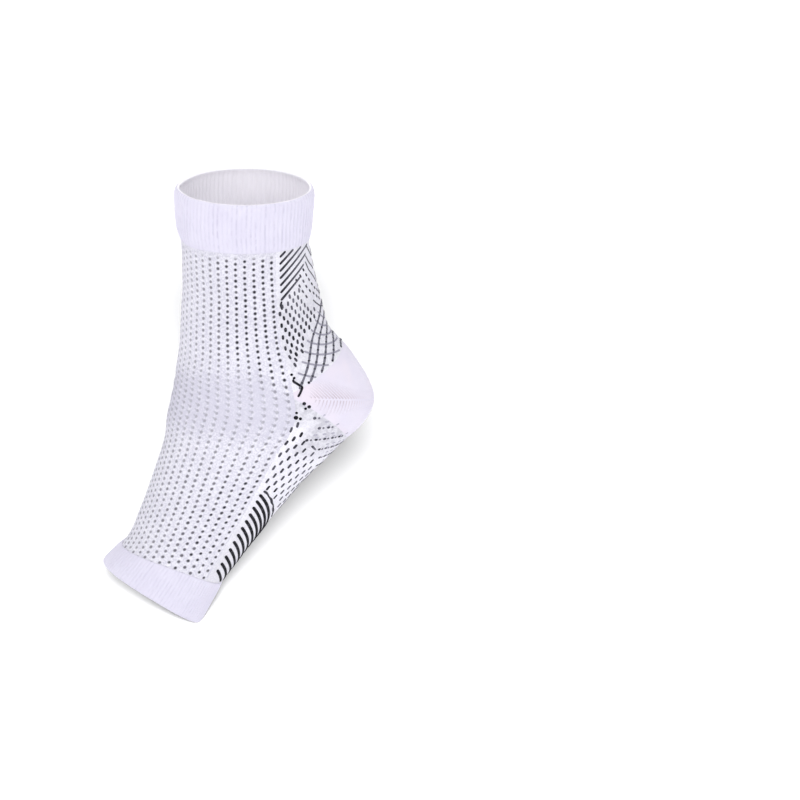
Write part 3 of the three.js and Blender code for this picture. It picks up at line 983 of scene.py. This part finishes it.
def make_band(name, node, profile, material, shape):
    (station, depth, at), height = profile
    rib_height, swell, tuck = shape
    piece = Piece(name)
    columns = RIB_COUNT * POINTS_PER_RIB
    turn = np.arange(columns) * 2 * math.pi / columns
    angle = np.broadcast_to(turn, (len(station), columns))
    rib = np.cos(np.arange(columns) * 2 * math.pi / POINTS_PER_RIB)
    fade = smooth(*RIB_FROM_RIM, at) * smooth(*RIB_FROM_SEAM, height - at)
    side = np.where(depth < np.mean(depth), 1, -1)
    raise_by = (rib_height * fade * side)[:, None] * rib
    stand = swell * smooth(*SWELL_FROM_RIM, at) * smooth(*SWELL_FROM_SEAM, height - at)
    dip = tuck * side * smooth(*TUCK_FROM_SEAM, height - at)
    raise_by = raise_by + slack(skin(station[:, None], angle)) * BAND_SLACK + (stand - dip)[:, None]
    knit_u = np.arange(columns + 1) / POINTS_PER_RIB
    walked = np.where(side > 0, at, 2 * height - at)
    # Tone 1 marks the inner wall, which the knit's material paints lighter: painted light
    tone = np.repeat((side < 0) * 1.0, columns)
    add_band(piece, station, depth, angle, knit_u, walked, raise_by, tone)
    return piece.make([material], node)


# Back strip

PANEL_STEP = 0.8
PANEL_INNER_STEP = 4
PANEL_INNER_COLUMNS = 28
PANEL_WALES = 52
PANEL_COURSES = 1.25
# About how long each zone is along the strip, which sets its number of rows
ACHILLES_REACH = 95
HEEL_REACH_ALONG = 70
SOLE_REACH = 75
ARCH_REACH = 75


def strip_grid(top_seam, bottom_seam, height):
    columns = PANEL_INNER_COLUMNS * PANEL_INNER_STEP
    rows = int(round(height / PANEL_STEP / PANEL_INNER_STEP)) * PANEL_INNER_STEP
    strip = np.linspace(-1, 1, columns + 1)
    share = np.linspace(0, 1, rows + 1)[:, None]
    top = np.broadcast_to(top_seam(strip), strip.shape)
    bottom = np.broadcast_to(bottom_seam(strip), strip.shape)
    station = top + (bottom - top) * share
    strip = np.broadcast_to(strip, station.shape)
    return station, strip, math.pi + strip * panel_half(station)


def spaced(count, wanted):
    """About as many places as wanted, evenly spaced over a count of them."""
    return np.unique(np.linspace(0, count - 1, wanted).astype(int))


def point_line(piece, points, width, height, tone=0.0):
    """Yarn along given points of spread and back length."""
    spread, length = np.array(points).T
    spread_line(piece, spread, length, width, height, tone)


def add_strip(piece, top_seam, bottom_seam, height, tone_of=None):
    station, strip, angle = strip_grid(top_seam, bottom_seam, height)
    relief = relief_at(station, angle)
    knit = np.stack([strip * PANEL_WALES, back_length(station) * PANEL_COURSES], -1)
    tone = tone_of(station, strip) if tone_of else 0.0
    add_sheet(piece, station, angle, relief, knit, PANEL_INNER_STEP, tone)


# Slanted bars at the top of the back strip: they start at the strip's edge and rise to the back
BAR_COUNT = 7
BAR_FIRST = 36.6
BAR_PITCH = 4.55
BAR_RISE = 34.5
BAR_EDGE_SPREAD = 57.5
BAR_EDGE_WIDENS = 0.8
BAR_WIDTH = 1.7
BAR_TOP_WIDTH = 1.0
BAR_HEIGHT = 0.45
# A bar is black at its start, and this much greyer at its end
BAR_TONE = 0.1
BAR_FADE = 0.75
BAR_CLEAR = 0.8
# Where bars end: spread at the cuff and its growth per mm of length, and the spread of a full bar
APEX_SPREAD = 13
APEX_WIDENS = 1.15
BAR_END_SPREAD = 10
# Thin lines beyond the ends of the bars, and rows of stitches that carry on from them: points
# of spread and back length
THIN_LINES = (
    ((18, 35), (7, 41.7), (1, 45)),
    ((22, 40.8), (16, 46.1), (4, 52.5)),
    ((24, 44.4), (20, 50.3), (8, 57.9), (3, 61.5)),
    ((24, 69.5), (20, 72.1), (12, 75.7), (1, 78)),
)
THIN_WIDTH = 0.95
THIN_HEIGHT = 0.32
THIN_TONE = 0.3
STITCH_ROWS = (
    ((30, 48.6), (25, 54.5), (19, 59.8), (16, 62.5), (6, 66.9), (1, 69)),
    ((36, 51.7), (33, 55.5), (31, 58.7), (26, 63), (20, 65.7), (14, 68.9), (4, 73)),
    ((42, 53.7), (40, 56.7), (38, 60), (34, 64.7), (31, 67.8)),
)
STITCH_ROW_STEP = 4.4
STITCH_ROW_WIDTH = 1.45
STITCH_ROW_SLANT = (-1.2, 2.2)
# Width of one degree of spread in mm
DEGREE_WIDTH = 0.6
# Loose end of yarn under the lowest bar
HOOK = ((61.5, 64.5), (63.4, 66.8), (62.4, 69.6))
HOOK_WIDTH = 1.4
# Heights of a stitch, and of the thick yarn at the tip of the heel and in the arch
STITCH_HEIGHT = 0.42
THREAD_HEIGHT = 0.4
THICK_HEIGHT = 0.5

# Stitches under the bars
STITCH_COLUMNS = 14
STITCH_COLUMN_STEP = 3.0
STITCH_FIRST_SPREAD = 65
STITCH_FIRST_LENGTH = 71.8
STITCH_COLUMN_FALL = 2.95
STITCH_PITCH = 7.0
STITCH_LENGTH = 3.0
# Clear space under the bars and over the net, in mm
STITCH_BELOW_BARS = 3.4
STITCH_ABOVE_NET = 1.5
# The slanted rows' lower edge: it starts at a spread and falls by mm for each degree
ROWS_EDGE_SPREAD = 40
ROWS_EDGE_LENGTH = 69.5
ROWS_EDGE_FALL = 0.35
# Spreads and back lengths over which the stitches get faint
FAINT_SPREAD = (66, 50)
FAINT_LENGTH = (84, 70)
FAINT_TONE = 0.45
FAINT_NARROWS = 0.25

# Net over the heel: its upright threads and its sagging threads
NET_THREADS = 6
NET_PITCH = 7.2
NET_TOP = 75
NET_BEND = 0.0243
NET_POWER = 1.8
NET_WIDTH = 1.55
NET_TONE = 0.7
# A net thread is thicker and thinner by this, and has a knot at each of these steps
NET_SWELL = 0.25
KNOT_STEP = 9
KNOT_LENGTH = 1.8
NET_CLEAR = 1
SAG_FIRST = -3
SAG_LAST = 3
SAG_SPREAD = 44
SAG_SPREAD_STEP = 7.5
SAG_LENGTH = 91.5
SAG_LENGTH_STEP = 6
SAG_LENGTH_BEND = 0.45
SAG_DEPTH = 9.5
SAG_REACH = 11
SAG_WIDTH = 1.25
SAG_HEIGHT = 0.3
SAG_TONE = 1.3


def net_edge(spread):
    """Back length of the net's upper edge at a spread."""
    step = (spread - SAG_SPREAD) / SAG_SPREAD_STEP
    return SAG_LENGTH + SAG_LENGTH_STEP * step + SAG_LENGTH_BEND * step ** 2


def apex_spread(length):
    return APEX_SPREAD + APEX_WIDENS * (length - CUFF_HEIGHT)


def heel_top_length(spread):
    strip = np.radians(spread) / panel_half(HEEL_TIP_SECTION - 1)
    return back_length(heel_top_seam(np.clip(strip, -1, 1)))


def bar_start(bar):
    return BAR_FIRST + BAR_PITCH * bar, BAR_EDGE_SPREAD + BAR_EDGE_WIDENS * bar


def bar_length(bar, spread):
    """A bar is straight seen from the side: it rises with the cosine of the spread."""
    start, edge = bar_start(bar)
    return start - BAR_RISE * (np.cos(np.radians(spread)) - math.cos(math.radians(edge)))


def add_bars(piece):
    for bar in range(BAR_COUNT):
        spread = np.linspace(bar_start(bar)[1], 0, 240)
        length = bar_length(bar, spread)
        kept = (length > CUFF_HEIGHT + BAR_CLEAR) & (spread > apex_spread(length))
        spread, length = spread[kept], length[kept]
        chosen = spaced(len(spread), 14)
        share = (spread[0] - spread[chosen]) / (spread[0] - BAR_END_SPREAD)
        width = BAR_WIDTH + (BAR_TOP_WIDTH - BAR_WIDTH) * share
        tone = BAR_TONE + BAR_FADE * share
        spread_line(piece, spread[chosen], length[chosen], width, BAR_HEIGHT, tone)


def add_thin_lines(piece, random):
    for points in THIN_LINES:
        point_line(piece, points, THIN_WIDTH, THIN_HEIGHT, THIN_TONE)
    for points in STITCH_ROWS:
        spread, length = np.array(points).T
        walked = walked_along(np.stack([spread * DEGREE_WIDTH, length], -1))
        for place in np.arange(0, walked[-1], STITCH_ROW_STEP):
            at_spread = np.interp(place, walked, spread)
            at_length = np.interp(place, walked, length)
            tone = random.uniform(0.05, 0.5)
            dash(piece, at_spread, at_length, *STITCH_ROW_SLANT, STITCH_ROW_WIDTH, THREAD_HEIGHT, tone)
    point_line(piece, HOOK, HOOK_WIDTH, THREAD_HEIGHT, BAR_TONE)


def add_stitches(piece, random):
    for column in range(STITCH_COLUMNS):
        spread = STITCH_FIRST_SPREAD - STITCH_COLUMN_STEP * column
        for row in range(-6, 6):
            length = STITCH_FIRST_LENGTH + STITCH_COLUMN_FALL * column + STITCH_PITCH * row
            under_bars = length > bar_length(BAR_COUNT - 1, spread) + STITCH_BELOW_BARS
            rows_edge = ROWS_EDGE_LENGTH + ROWS_EDGE_FALL * (ROWS_EDGE_SPREAD - spread)
            under_rows = spread > ROWS_EDGE_SPREAD or length > rows_edge
            if not under_bars or not under_rows or length > net_edge(spread) - STITCH_ABOVE_NET:
                continue
            faint = float(smooth(*FAINT_SPREAD, spread) * smooth(*FAINT_LENGTH, length))
            tone = random.uniform(0.0, 0.3) + FAINT_TONE * faint
            lean = random.uniform(-0.3, 0.5)
            width = random.uniform(1.55, 1.95) - FAINT_NARROWS * faint
            dash(piece, spread, length, lean, STITCH_LENGTH, width, STITCH_HEIGHT, tone)


def add_net(piece, random):
    for thread in range(NET_THREADS):
        spread = np.linspace(1, 72, 140)
        length = NET_TOP + NET_BEND * spread ** NET_POWER + NET_PITCH * thread
        kept = (length > net_edge(spread) - NET_CLEAR) & (length < heel_top_length(spread) - NET_CLEAR)
        spread, length = spread[kept], length[kept]
        if len(spread) < 12:
            continue
        chosen = spaced(len(spread), 26)
        width = NET_WIDTH + NET_SWELL * np.sin(np.arange(len(chosen)) * 1.9)
        spread_line(piece, spread[chosen], length[chosen], width, THREAD_HEIGHT, NET_TONE)
        for place in range(KNOT_STEP // 3, len(spread), KNOT_STEP):
            width = random.uniform(1.75, 2.1)
            tone = random.uniform(0.0, 0.35)
            dash(piece, spread[place], length[place], 0.5, KNOT_LENGTH, width, THICK_HEIGHT, tone)
    for row in range(SAG_FIRST, SAG_LAST + 1):
        start = SAG_SPREAD + SAG_SPREAD_STEP * row
        spread = np.linspace(start, 1, 60)
        length = net_edge(start) + SAG_DEPTH * (1 - np.exp(-(start - spread) / SAG_REACH))
        kept = length < heel_top_length(spread) - NET_CLEAR
        spread, length = spread[kept], length[kept]
        if len(spread) < 6:
            continue
        chosen = spaced(len(spread), 16)
        spread_line(piece, spread[chosen], length[chosen], SAG_WIDTH, SAG_HEIGHT, SAG_TONE)


# Back lengths over which grey yarn starts to show through the knit, and how much
NET_GREY_START = (50, 72)
NET_GREY = 0.45


def net_tone(station, strip):
    """How much grey yarn shows through the knit: none behind the bars."""
    return np.broadcast_to(NET_GREY * smooth(*NET_GREY_START, back_length(station)), strip.shape)


# Thick thread that zigzags down to the tip of the heel: spread and back length
ZIGZAG = ((71.4, 118), (72, 119.9), (70, 122.5), (68, 125.3), (71, 129.9), (73, 132.7))
ZIGZAG_WIDTH = 1.6
TIP_DOTS = ((71, 114.2), (70.4, 117.2), (62.5, 122.5))
TIP_DOT_SIZE = (0.3, 1.8, 1.9)


def make_achilles():
    random = np.random.default_rng(11)
    piece = Piece("achilles_panel_knit")
    add_strip(piece, lambda strip: CUFF_SEAM, heel_top_seam, ACHILLES_REACH, net_tone)
    add_bars(piece)
    add_thin_lines(piece, random)
    add_stitches(piece, random)
    add_net(piece, random)
    point_line(piece, ZIGZAG, ZIGZAG_WIDTH, THICK_HEIGHT)
    for spread, length in TIP_DOTS:
        dash(piece, spread, length, *TIP_DOT_SIZE, THICK_HEIGHT)
    return piece.make([PANEL_KNIT, DARK_YARN], "achilles_panel")


# Heel: slanted stitches that meet on the gore line, and fade out towards the back
GORE_TIP = (67, 134.1)
GORE_FALL = 0.2
GORE_STITCHES = 26
GORE_STEP = 2.35
GORE_LEAN = 0.5
GORE_UPPER = 15
GORE_LOWER = 10
GORE_WIDTHS = (0.95, 0.475)
GORE_HEIGHT = 0.22
# Gap on the gore line itself, clear space at the zone's edges, and the shortest lower stitch
GORE_GAP = 1.2
GORE_CLEAR = 1.5
GORE_SHORTEST = 3
# Degrees from the tip over which stitches grow, shrink by a share, and get fainter
GORE_GROWS = (0, 14)
GORE_SHRINKS = (18, 50)
GORE_SHRINK = 0.65
GORE_PALES = (20, 50)
GORE_TONE = 0.1
GORE_PALE = 0.8


def heel_bottom_length(spread):
    strip = np.radians(np.abs(spread)) / panel_half(HEEL_TIP_SECTION + 2)
    return back_length(heel_bottom_seam(np.clip(strip, -1, 1)))


def make_heel():
    piece = Piece("heel_pocket_knit")
    add_strip(piece, heel_top_seam, heel_bottom_seam, HEEL_REACH_ALONG)
    for stitch in range(GORE_STITCHES):
        gone = GORE_STEP * (stitch + 1)
        spread = GORE_TIP[0] - gone
        length = GORE_TIP[1] + GORE_FALL * gone
        size = smooth(*GORE_GROWS, gone) * (1 - GORE_SHRINK * smooth(*GORE_SHRINKS, gone))
        tone = (GORE_TONE + GORE_PALE * smooth(*GORE_PALES, gone), 1.0)
        top = max(length - GORE_UPPER * size - 1, heel_top_length(spread + 6) + GORE_CLEAR)
        turned = (spread, spread + (length - top) * GORE_LEAN)
        spread_line(piece, turned, (length, top), GORE_WIDTHS, GORE_HEIGHT, tone)
        start = length + GORE_GAP
        bottom = min(start + GORE_LOWER * size, heel_bottom_length(spread + 4) - GORE_CLEAR)
        if bottom > length + GORE_SHORTEST:
            turned = (spread, spread + (bottom - length) * GORE_LEAN)
            spread_line(piece, turned, (start, bottom), GORE_WIDTHS, GORE_HEIGHT, tone)
    return piece.make([HEEL_KNIT, BLUSH_YARN], "heel_pocket")


# Sole: rows of paired stitches under the heel, then slanted stitches in a lattice along the foot.
# A row of pairs: back length, and the spread of its first pair
PAIR_ROWS = ((149.8, 64.9), (157.9, 59.5), (168.3, 62.5), (179.7, 44.5), (189.5, 33.6), (199.5, 22))
PAIR_STEP = 6.4
PAIR_PLACES = 12
# Stitches of a pair, from thick to pale: degrees and mm from its place, across, along, width, height
PAIR_STITCHES = (
    (0, 0, 2.2, 0, 2.0, 0.4),
    (-2.9, 0.2, 1.5, 0, 1.6, 0.35),
    (-3.2, -4.6, 2.6, 0, 1.5, 0.25),
    (-6.0, -1.6, 1.6, 1.0, 1.2, 0.25),
)
PAIR_THIN_TONE = 0.4
PAIR_PALE_TONES = (1.6, 1.7)
# Clear space under the heel's edge for a pair, and for a pale stitch that lies over its row
PAIR_CLEAR = 1
PALE_CLEAR = 1.4
PALE_ROW_RISE = 2
# Spread and back length of stitch i, j of the lattice: factors of 1, i, j, i times i, i times j
# and j times j
LATTICE_SPREAD = (74.1, 2.7, -4.9, -0.14, 0.26, -0.23)
LATTICE_LENGTH = (154.2, 3.8, 8.5, 0.17, -0.14, -0.07)
LATTICE_SIZE = 24
LATTICE_LEAST_SPREAD = 1.5
# Size of its stitches across and along, and the spreads over which they get paler
LATTICE_STITCH = (-0.3, 3.9)
LATTICE_PALES = (52, 30)
LATTICE_PALE = 0.45
# Single stitches: spread, back length and width
SOLE_DOTS = (
    (70.5, 138.3, 2.5),
    (68, 141, 2.5),
    (70.4, 142.2, 1.9),
    (76, 145.1, 1.9),
    (76.2, 148.7, 3.0),
    (73.5, 149.6, 2.1),
)
SOLE_HOOK = ((54.9, 174.6), (52.3, 176.6), (47.6, 179.8))
SOLE_HOOK_WIDTHS = (1.9, 1.6, 1.1)
SOLE_HOOK_TONES = (0.1, 0.4, 0.8)
# Back lengths and spreads over which grey yarn shows through the knit under the heel
SOLE_GREY_END = (200, 165)
SOLE_GREY_SIDE = (72, 60)
SOLE_GREY_START = (158, 148)
ARCH_START = back_length(ARCH_SEAM)


def sole_tone(station, strip):
    spread = np.degrees(np.abs(strip) * panel_half(station))
    length = back_length(station)
    under_heel = smooth(*SOLE_GREY_END, length) * smooth(*SOLE_GREY_SIDE, spread)
    return np.maximum(under_heel, smooth(*SOLE_GREY_START, length))


def add_pairs(piece, random):
    """Short rows under the heel: a thick stitch, a thinner one beside it and pale ones between the rows."""
    for row_length, first in PAIR_ROWS:
        for place in range(PAIR_PLACES):
            start = first - PAIR_STEP * place
            if start < 2 or row_length < heel_bottom_length(start) + PAIR_CLEAR:
                continue
            tone = random.uniform(0.1, 0.55)
            tones = (tone, min(1.0, tone + PAIR_THIN_TONE), *PAIR_PALE_TONES)
            for (turn, rise, across, along, width, height), tone in zip(PAIR_STITCHES, tones):
                spread, length = start + turn, row_length + rise
                if rise >= -PALE_ROW_RISE or heel_bottom_length(spread) < length - PALE_CLEAR:
                    dash(piece, spread, length, across, along, width, height, tone)


def lattice_stitches(random, first_length, last_length):
    """Spread, length, width and tone of each slanted stitch that starts between two back lengths."""
    stitches = []
    for j in range(LATTICE_SIZE):
        low = -max(0, j - 6) - (j > 3)
        for i in range(low, j + 2):
            powers = (1, i, j, i * i, i * j, j * j)
            spread = np.dot(LATTICE_SPREAD, powers)
            length = np.dot(LATTICE_LENGTH, powers)
            width = random.uniform(1.5, 1.8)
            tone = random.uniform(0.05, 0.4) + LATTICE_PALE * float(smooth(*LATTICE_PALES, spread))
            if spread > LATTICE_LEAST_SPREAD and first_length <= length < last_length:
                stitches.append((spread, length, width, tone))
    return stitches


def make_sole():
    random = np.random.default_rng(5)
    piece = Piece("sole_panel_knit")
    add_strip(piece, heel_bottom_seam, lambda strip: ARCH_SEAM, SOLE_REACH, sole_tone)
    add_pairs(piece, random)
    for spread, length, width, tone in lattice_stitches(random, 0, ARCH_START):
        dash(piece, spread, length, *LATTICE_STITCH, width, STITCH_HEIGHT, tone)
    for spread, length, width in SOLE_DOTS:
        dash(piece, spread, length, 0.3, width * 0.9, width, THICK_HEIGHT)
    point_line(piece, SOLE_HOOK, SOLE_HOOK_WIDTHS, THREAD_HEIGHT, SOLE_HOOK_TONES)
    return piece.make([PANEL_KNIT, DARK_YARN], "sole_panel")


# Arch: black bars that start near the strip's edge and meet in the middle of the sole. Each starts
# a step further down the foot, a little further in from the edge, and runs down less steeply
ARCH_BARS = 12
ARCH_FIRST = 13.07
ARCH_STEP = 0.32
ARCH_EDGE = 0.94
ARCH_EDGE_STEP = 0.006
ARCH_RUN = 0.0325
ARCH_RUN_STEP = 0.0015
ARCH_BAR_WIDTH = 2.05
ARCH_BAR_POINTS = 60
# The frayed thread above the first bar: it wavers, and is thicker and thinner
ARCH_THREAD_STATION = 12.8
ARCH_THREAD_POINTS = 30
ARCH_THREAD_WIDTH = 1.45
ARCH_THREAD_TONE = 0.15
THREAD_WAVER = 0.014
THREAD_WAVER_TURN = 1.4
THREAD_SWELL = 0.45
THREAD_SWELL_TURN = 0.9
# It ends at this angle from the middle of the sole
THREAD_END = 0.3
# Clear space at the zone's ends and beside the thread, in stations
ARCH_START_CLEAR = 0.06
ARCH_END_CLEAR = 0.05
THREAD_CLEAR = 0.03


def arch_bar(station, top, run, points):
    """Stations and turns of a bar that runs down from its top to the middle of the sole."""
    turned = top * np.linspace(1, 0, points)
    return station + run * np.degrees(top - turned), turned


def add_arch_bars(piece):
    for bar in range(ARCH_BARS):
        station = ARCH_FIRST + ARCH_STEP * bar
        top = panel_half(station) * (ARCH_EDGE - ARCH_EDGE_STEP * bar)
        line, turned = arch_bar(station, top, ARCH_RUN - ARCH_RUN_STEP * bar, ARCH_BAR_POINTS)
        kept = line < TOE_SEAM - ARCH_END_CLEAR
        line, turned = line[kept], turned[kept]
        if kept.all():
            line = np.concatenate([line, line[-2::-1]])
            turned = np.concatenate([turned, -turned[-2::-1]])
            add_yarn(piece, line, math.pi + turned, ARCH_BAR_WIDTH, THICK_HEIGHT)
        else:
            for side in (-1, 1):
                add_yarn(piece, line, math.pi + side * turned, ARCH_BAR_WIDTH, THICK_HEIGHT)


def add_arch_thread(piece):
    top = panel_half(ARCH_THREAD_STATION) * ARCH_EDGE
    line, turned = arch_bar(ARCH_THREAD_STATION, top, ARCH_RUN, ARCH_THREAD_POINTS)
    place = np.arange(ARCH_THREAD_POINTS)
    line = line + THREAD_WAVER * np.sin(place * THREAD_WAVER_TURN)
    width = ARCH_THREAD_WIDTH + THREAD_SWELL * np.sin(place * THREAD_SWELL_TURN)
    kept = (line > ARCH_SEAM + ARCH_START_CLEAR) & (turned > THREAD_END)
    for side in (-1, 1):
        angle = math.pi + side * turned[kept]
        add_yarn(piece, line[kept], angle, width[kept], THREAD_HEIGHT, ARCH_THREAD_TONE)


def make_arch():
    random = np.random.default_rng(5)
    piece = Piece("arch_panel_knit")
    add_strip(piece, lambda strip: ARCH_SEAM, lambda strip: TOE_SEAM, ARCH_REACH)
    add_arch_bars(piece)
    add_arch_thread(piece)
    for spread, length, width, tone in lattice_stitches(random, ARCH_START, BACK_LENGTH[-1]):
        half = math.degrees(panel_half(back_station(length))) * ARCH_EDGE
        thread = ARCH_THREAD_STATION + ARCH_RUN * (half - spread)
        if back_station(length + LATTICE_STITCH[1] / 2) < thread - THREAD_CLEAR:
            dash(piece, spread, length, *LATTICE_STITCH, width, STITCH_HEIGHT, tone)
    return piece.make([PANEL_KNIT, DARK_YARN], "arch_panel")


body = make_body()
cuff_profile = band_profile(0, CUFF_SEAM, BACK_LENGTH, CUFF_WALL)
cuff = make_band("cuff_band_knit", "cuff_band", cuff_profile, CUFF_KNIT, CUFF_SHAPE)
toe_profile = band_profile(LAST, TOE_SEAM, EDGE_LENGTH, TOE_BAND_WALL)
toe = make_band("toe_band_knit", "toe_band", toe_profile, BAND_KNIT, TOE_SHAPE)
achilles = make_achilles()
heel = make_heel()
sole = make_sole()
arch = make_arch()

# Floor and light

FLOOR_DROP = 281.3
FLOOR_SIZE = 24000
FLOOR_PALE = srgb(136, 136, 137)
FLOOR_SHADE = srgb(134, 134, 135)
FLOOR_GRAIN = (3.0, 2.0, 0.3, 0.7, 0.0, 1.0)
# Lamps: azimuth, elevation, distance, size and power
LAMPS = {
    "key": (-4, 24, 3200, 260, 15),
    "top": (-10, 75, 2600, 1500, 17),
    "fill": (28, 1, 2600, 700, 1.2),
}
SUN_ELEVATION = math.radians(20)
SUN_SOFTNESS = math.radians(8)
SUN_STRENGTH = 43
STUDIO_STRENGTH = 0.98


def make_floor():
    half = FLOOR_SIZE / 2 * MILLIMETRE
    z = -FLOOR_DROP * MILLIMETRE
    mesh = bpy.data.meshes.new("floor")
    corners = [(-half, -half, z), (half, -half, z), (half, half, z), (-half, half, z)]
    mesh.from_pydata(corners, [], [(0, 1, 2, 3)])
    nodes = Nodes("floor_paper")
    nodes.surface(nodes.mix(nodes.patches(*FLOOR_GRAIN), FLOOR_PALE, FLOOR_SHADE), 1.0, 0.0)
    mesh.materials.append(nodes.material)
    floor = bpy.data.objects.new("floor", mesh)
    bpy.context.scene.collection.objects.link(floor)
    return floor


def light_floor(floor):
    """A soft sun for the floor alone, which leaves the sock's shadow close behind it."""
    data = bpy.data.lights.new("floor_sun", "SUN")
    data.angle = SUN_SOFTNESS
    data.energy = SUN_STRENGTH
    sun = bpy.data.objects.new("floor_sun", data)
    sun.rotation_euler = (math.pi / 2 - SUN_ELEVATION, 0, 0)
    bpy.context.scene.collection.objects.link(sun)
    lit = bpy.data.collections.new("lit_floor")
    lit.objects.link(floor)
    sun.light_linking.receiver_collection = lit


def make_light(name, azimuth, elevation, distance, size, power):
    """A soft lamp aimed at the sock. Azimuth 0 is the camera's side, and positive is to the right."""
    azimuth, elevation = math.radians(azimuth), math.radians(elevation)
    data = bpy.data.lights.new(name, "AREA")
    data.shape = "DISK"
    data.size = size * MILLIMETRE
    data.energy = power
    lamp = bpy.data.objects.new(name, data)
    level = math.cos(elevation) * distance
    x = math.sin(azimuth) * level
    y = -math.cos(azimuth) * level
    z = math.sin(elevation) * distance - LEG_HEIGHT
    lamp.location = (x * MILLIMETRE, y * MILLIMETRE, z * MILLIMETRE)
    lamp.rotation_euler = (math.pi / 2 - elevation, 0, azimuth)
    bpy.context.scene.collection.objects.link(lamp)


def make_world():
    world = bpy.data.worlds.new("studio")
    world.use_nodes = True
    back = world.node_tree.nodes["Background"]
    back.inputs[0].default_value = (1.0, 1.0, 1.0, 1.0)
    back.inputs[1].default_value = STUDIO_STRENGTH
    bpy.context.scene.world = world


light_floor(make_floor())
make_world()
for lamp_name, lamp_values in LAMPS.items():
    make_light(lamp_name, *lamp_values)
bpy.context.scene.view_settings.view_transform = "Standard"
